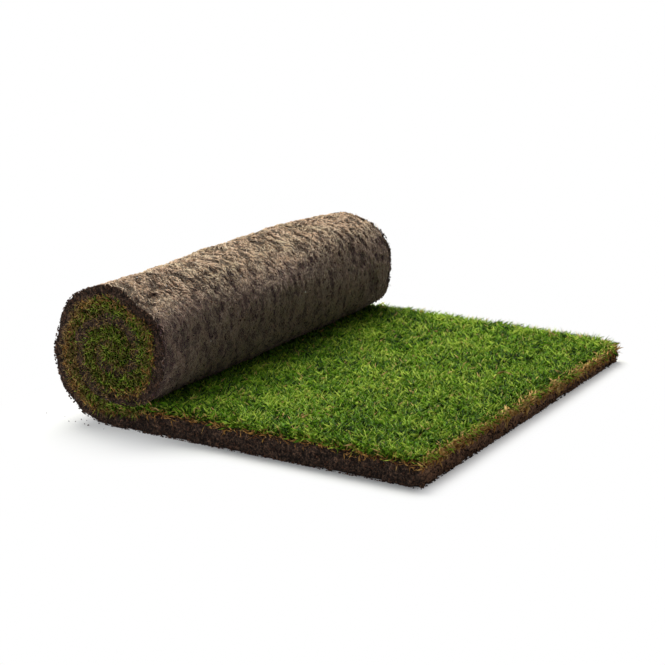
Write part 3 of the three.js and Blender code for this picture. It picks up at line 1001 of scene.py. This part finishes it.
def root_hairs(name, course, plants, rng, material):
    """Roots that lie on the roll's skin, most of them combed along the strip by the blade. Each is
    a closed kite of four faces: its foot and its tip lie in the skin, and between them its two
    widest corners stand out of it. Two fifths of them lie low and are dark, with soil and with
    painted shade, as low places lie in shadow. Those in the pits are dark as well, with soil and
    painted shade in the hollows, and those near the strip's edges are dark with soil."""
    count = plants.root_hairs
    angle = rng.uniform(*HAIR_ANGLES, count)
    u = -course.length(angle)
    y = course.half_width * rng.uniform(-1, 1, count)
    at = points(u, y, 0)
    turn = HAIR_TURN[0] * noise(at, *HAIR_SWIRLS) + rng.normal(0, HAIR_TURN[1], count)
    soiled_and_shaded = rng.random(count) < SOILED_AND_SHADED
    length = rng.uniform(*HAIR_LENGTH, count) * MM
    width = rng.uniform(*HAIR_WIDTH, count)[:, None] * MM
    low, high = rng.uniform(*SOILED_AND_SHADED_HEIGHT, count), rng.uniform(*HAIR_HEIGHT, count)
    height = np.where(soiled_and_shaded, low, high)
    foot, middle, tip = (
        course.place(end_u, end_y, -relief(end_u, end_y, 0, -1)[0])
        for end_u, end_y in (
            (u + end * np.cos(turn) * length / 2, y + end * np.sin(turn) * length / 2)
            for end in (-1, 0, 1)
        )
    )
    along, across, up = course.axes(u)
    side = np.cos(turn)[:, None] * across - np.sin(turn)[:, None] * along
    middle = middle - up * height[:, None] * MM
    sunk = up * HAIR_SUNK * MM
    wide = side * width / 2
    corners = np.stack([foot + sunk, middle - wide, middle + wide, tip + sunk], 1)

    rim = HAIR_RIM + WIDER_HAIR_RIM * smooth_step(angle, *RIM_ANGLES)
    stain = 1 - smooth_step(course.half_width - np.abs(y), 0, rim)
    # Low hairs and those in pits are dark: soil, and painted shade in the hollows.
    tone = np.where(soiled_and_shaded, rng.normal(0.1, 0.1, count), rng.normal(0.86, 0.18, count))
    pit_soil_and_shade = smooth_step(0.5 - relief(u, y, 0, -1)[1], 0, 0.25)
    tone = tone + 0.12 * noise(at, *HAIR_PATCHES) - 0.6 * pit_soil_and_shade - 0.5 * stain
    # facing is the skin's normal Z, which the root material turns into painted shade.
    values = {"tone": np.clip(tone, 0, 1)[:, None], "facing": -np.cos(angle)[:, None]}
    return write_copies(name, corners, KITE_FACES, values, material, smooth=False)


def edge_places(course, count, end_share, rng):
    """Random places on the strip's cut edges that show: a share of them on the cut end, and the
    rest on the near and far edges, along the flat run and the outer turn. Gives u, y, and each
    edge's outward unit vectors."""
    on_end = rng.random(count) < end_share
    side = rng.choice([-1.0, 1.0], count)
    run = course.sizes.flat_run
    u = np.where(on_end, run, rng.uniform(-course.length(TURN), run, count))
    y = course.half_width * np.where(on_end, rng.uniform(-1, 1, count), side)
    along, across, _ = course.axes(u)
    return u, y, np.where(on_end[:, None], along, side[:, None] * across)


def dead_stems(name, course, plants, rng, material):
    """Dead stems from the thatch, between the mat and the sward, that lie along every cut edge or
    hang a little over it. On the cut end they are longer, and bleached in clusters about 30 mm
    apart. All of them there are also drawn lighter, as painted light on an edge that the lamp does
    not reach."""
    count = plants.stems
    u, y, outward = edge_places(course, count, STEMS_ON_END, rng)
    up = course.axes(u)[2]
    base = course.place(u, y, course.mat(u, y) + rng.uniform(*STEM_HEIGHT, count) * MM)
    base = base - outward * rng.uniform(*STEM_IN, count)[:, None] * MM
    way = np.cross(outward, up) * rng.normal(0, 1.2, (count, 1))
    way = way + up * rng.normal(0.2, 0.7, (count, 1))
    lean = np.radians(rng.uniform(*STEM_LEAN, count))
    bend = np.radians(rng.uniform(*STEM_BEND, count))
    length = rng.uniform(*STEM_LENGTH, count) * MM
    width = rng.uniform(*STEM_WIDTH, count) * MM
    on_end = u >= course.sizes.flat_run
    cluster = smooth_step(noise(base, *STEM_CLUSTERS), -0.1, 0.4) * on_end
    length = length * (1 + 0.2 * cluster)
    # Lighter on the cut end: painted light where the lamp does not reach.
    tone = rng.normal(0.3 + 0.15 * on_end + 0.45 * cluster, 0.25)
    twist = rng.uniform(-1.5, 1.5, count)
    values = {"tone": np.clip(tone, 0, 1)}
    return strands(name, base, outward, way, lean, bend, length, width, twist, values, material)


def crumbs(name, course, plants, rng, material):
    """Crumbs of soil on the cut edges, at their foot, on the skin and fallen from the near end:
    octahedra whose corners are each moved in or out at random. A few on the roll are white
    grains."""
    count = plants.crumbs
    u, y, outward = edge_places(course, count, CRUMBS_ON_END, rng)
    on_edge = course.place(u, y, course.mat(u, y) * rng.uniform(0, 1, count))
    on_edge = on_edge + outward * rng.normal(0.2, 0.8, count)[:, None] * MM
    skin_u = rng.uniform(-course.length(TURN), 0, count)
    skin_y = course.half_width * rng.uniform(-1, 1, count)
    on_skin = course.place(skin_u, skin_y, -relief(skin_u, skin_y, 0, -1)[0])
    spilt = (u > 0) * (rng.exponential(SPILT[0], count) - SPILT[1])
    at_foot = course.place(u, y, 0 * u) + outward * spilt[:, None] * MM
    fallen = FALLEN_CRUMBS * MM + rng.normal(0, 1, (count, 3)) * FALLEN_SPREAD * MM
    kind = rng.random(count)[:, None]
    kinds = [kind < share for share in (ON_EDGE, AT_FOOT, ON_SKIN, 1)]
    middle = np.select(kinds, (on_edge, at_foot, on_skin, fallen))
    radius = MM * rng.uniform(*CRUMB_SIZE, count) ** 2
    jitter = rng.uniform(*CRUMB_JITTER, (count, 6, 1))
    corners = middle[:, None] + CRUMB_CORNERS * jitter * radius[:, None, None]
    tone = rng.uniform(0, 0.82, count)
    white = (kind[:, 0] > AT_FOOT) & (rng.random(count) < LIME)
    values = {"tone": np.where(white, 1.0, tone)[:, None]}
    return write_copies(name, corners, CRUMB_FACES, values, material, smooth=False)


# ---- operators


class TURF_OT_mat(bpy.types.Operator):
    """Adds the mat of soil and roots: the flat stretch, the roll's outer turn and its inner
    turns"""

    bl_idname = "turf.mat"
    bl_label = "Root Mat"

    def execute(self, context):
        course = Course(context.scene.turf_sizes)
        soil = new_material(rooted_soil_sliced, context.scene.turf_colours)
        joint, end = -course.length(OUTER_PIECE_ANGLE), -course.rolled_length
        for mesh in (
            laid_mat("mat_laid", course, LAID_STEP, soil),
            wound_mat("mat_outer_turn", course, 0, joint, WOUND_STEP, WOUND_ACROSS, soil),
            wound_mat("mat_inner_turns", course, joint, end, INNER_STEP, INNER_ACROSS, soil),
        ):
            add_piece(mesh, "root_mat")
        return {"FINISHED"}


class TURF_OT_pressed_sward(bpy.types.Operator):
    """Adds the grass that is pressed between the turns"""

    bl_idname = "turf.pressed_sward"
    bl_label = "Pressed Sward"

    def execute(self, context):
        course = Course(context.scene.turf_sizes)
        thatch = new_material(thatch_pressed, context.scene.turf_colours)
        add_piece(pressed_core("sward_pressed", course, thatch), "grass_sward")
        return {"FINISHED"}


class TURF_OT_grass(bpy.types.Operator):
    """Adds the blades of grass on the flat run and at both ends of the roll"""

    bl_idname = "turf.grass"
    bl_label = "Grass"

    def execute(self, context):
        course, plants = Course(context.scene.turf_sizes), context.scene.turf_plants
        leaf = new_material(grass_leaf_mown, context.scene.turf_colours)
        thirds = np.linspace(0, course.sizes.flat_run, 4)
        for seed, name in enumerate(("grass_by_roll", "grass_middle", "grass_cut_end")):
            start, end = thirds[seed : seed + 2]
            mesh = flat_grass(name, course, plants, start, end, np.random.default_rng(seed), leaf)
            add_piece(mesh, "grass_sward")
        for side, seed, name in ((-1, 10, "grass_near_end"), (1, 12, "grass_far_end")):
            mesh = end_grass(name, course, plants, side, np.random.default_rng(seed), leaf)
            add_piece(mesh, "grass_sward")
        return {"FINISHED"}


class TURF_OT_roots(bpy.types.Operator):
    """Adds the root hairs on the roll's skin and the dead stems along the cut edges"""

    bl_idname = "turf.roots"
    bl_label = "Roots and Stems"

    def execute(self, context):
        course, plants = Course(context.scene.turf_sizes), context.scene.turf_plants
        root = new_material(grass_root_dried, context.scene.turf_colours)
        straw = new_material(thatch_straw_dried, context.scene.turf_colours)
        mesh = root_hairs("root_hairs", course, plants, np.random.default_rng(21), root)
        add_piece(mesh, "root_mat")
        mesh = dead_stems("dead_stems", course, plants, np.random.default_rng(22), straw)
        add_piece(mesh, "grass_sward")
        return {"FINISHED"}


class TURF_OT_crumbs(bpy.types.Operator):
    """Adds loose crumbs of soil"""

    bl_idname = "turf.crumbs"
    bl_label = "Crumbs"

    def execute(self, context):
        course, plants = Course(context.scene.turf_sizes), context.scene.turf_plants
        loam = new_material(loam_crumbled)
        mesh = crumbs("crumbs", course, plants, np.random.default_rng(31), loam)
        add_piece(mesh, "root_mat")
        return {"FINISHED"}


class TURF_OT_stage(bpy.types.Operator):
    """Adds the floor, the soft light over it and the camera"""

    bl_idname = "turf.stage"
    bl_label = "Stage"

    def execute(self, context):
        scene = context.scene
        scene.view_settings.view_transform = "Standard"
        corners = [
            (x * FLOOR_REACH, y * FLOOR_REACH, -FLOOR_DEPTH)
            for x, y in ((-1, -1), (1, -1), (1, 1), (-1, 1))
        ]
        mesh = bpy.data.meshes.new("floor")
        mesh.from_pydata(corners, [], [(0, 1, 2, 3)])
        mesh.materials.append(new_material(paper_matt))
        floor = link_object("floor", mesh)

        for name, (place, size, power, colour) in LAMPS.items():
            light = bpy.data.lights.new(name, "AREA")
            light.shape = "SQUARE"
            light.size, light.energy, light.color = size, power, colour
            lamp = link_object(name, light)
            lamp.location = place
            lamp.rotation_mode = "QUATERNION"
            lamp.rotation_quaternion = (-Vector(place)).to_track_quat("-Z", "Y")
        scene.world = shaded(bpy.data.worlds.new("soft_sky"), "OutputWorld", soft_sky)

        lens = bpy.data.cameras.new("camera")
        lens.sensor_width, lens.lens = CAMERA_SENSOR, CAMERA_LENS
        camera = link_object("camera", lens)
        camera.location = Vector(CAMERA_PLACE) * MM
        yaw, pitch, roll = map(math.radians, (CAMERA_YAW, CAMERA_PITCH, CAMERA_ROLL))
        level = math.cos(pitch)
        forward = Vector((math.sin(yaw) * level, math.cos(yaw) * level, -math.sin(pitch)))
        turned = forward.to_track_quat("-Z", "Y") @ Quaternion((0, 0, 1), roll)
        camera.rotation_mode = "QUATERNION"
        camera.rotation_quaternion = turned
        scene.camera = camera
        return {"FINISHED"}


class TURF_PT_panel(bpy.types.Panel):
    """Lists the turf's sizes, plants and colours, and the steps that build it"""

    bl_idname = "TURF_PT_panel"
    bl_label = "Roll of Turf"
    bl_space_type = "VIEW_3D"
    bl_region_type = "UI"
    bl_category = "Turf"

    def draw(self, context):
        for key in GROUPS:
            group = getattr(context.scene, key)
            box = self.layout.box()
            for name in group.__annotations__:
                box.prop(group, name)
        for operator in OPERATORS:
            self.layout.operator(operator.bl_idname)


GROUPS = {"turf_sizes": TurfSizes, "turf_plants": TurfPlants, "turf_colours": TurfColours}
OPERATORS = (
    TURF_OT_mat,
    TURF_OT_pressed_sward,
    TURF_OT_grass,
    TURF_OT_roots,
    TURF_OT_crumbs,
    TURF_OT_stage,
)


def register():
    """Makes the classes known to Blender, and gives the scene its groups of properties."""
    for cls in (*GROUPS.values(), *OPERATORS, TURF_PT_panel):
        bpy.utils.register_class(cls)
    for name, group in GROUPS.items():
        setattr(bpy.types.Scene, name, PointerProperty(type=group))


def unregister():
    """Takes back all that register() did."""
    for name in GROUPS:
        delattr(bpy.types.Scene, name)
    for cls in (TURF_PT_panel, *OPERATORS, *GROUPS.values()):
        bpy.utils.unregister_class(cls)


def main():
    """Builds all pieces and the stage."""
    register()
    bpy.ops.turf.mat()
    bpy.ops.turf.pressed_sward()
    bpy.ops.turf.grass()
    bpy.ops.turf.roots()
    bpy.ops.turf.crumbs()
    bpy.ops.turf.stage()


if __name__ == "__main__":
    main()
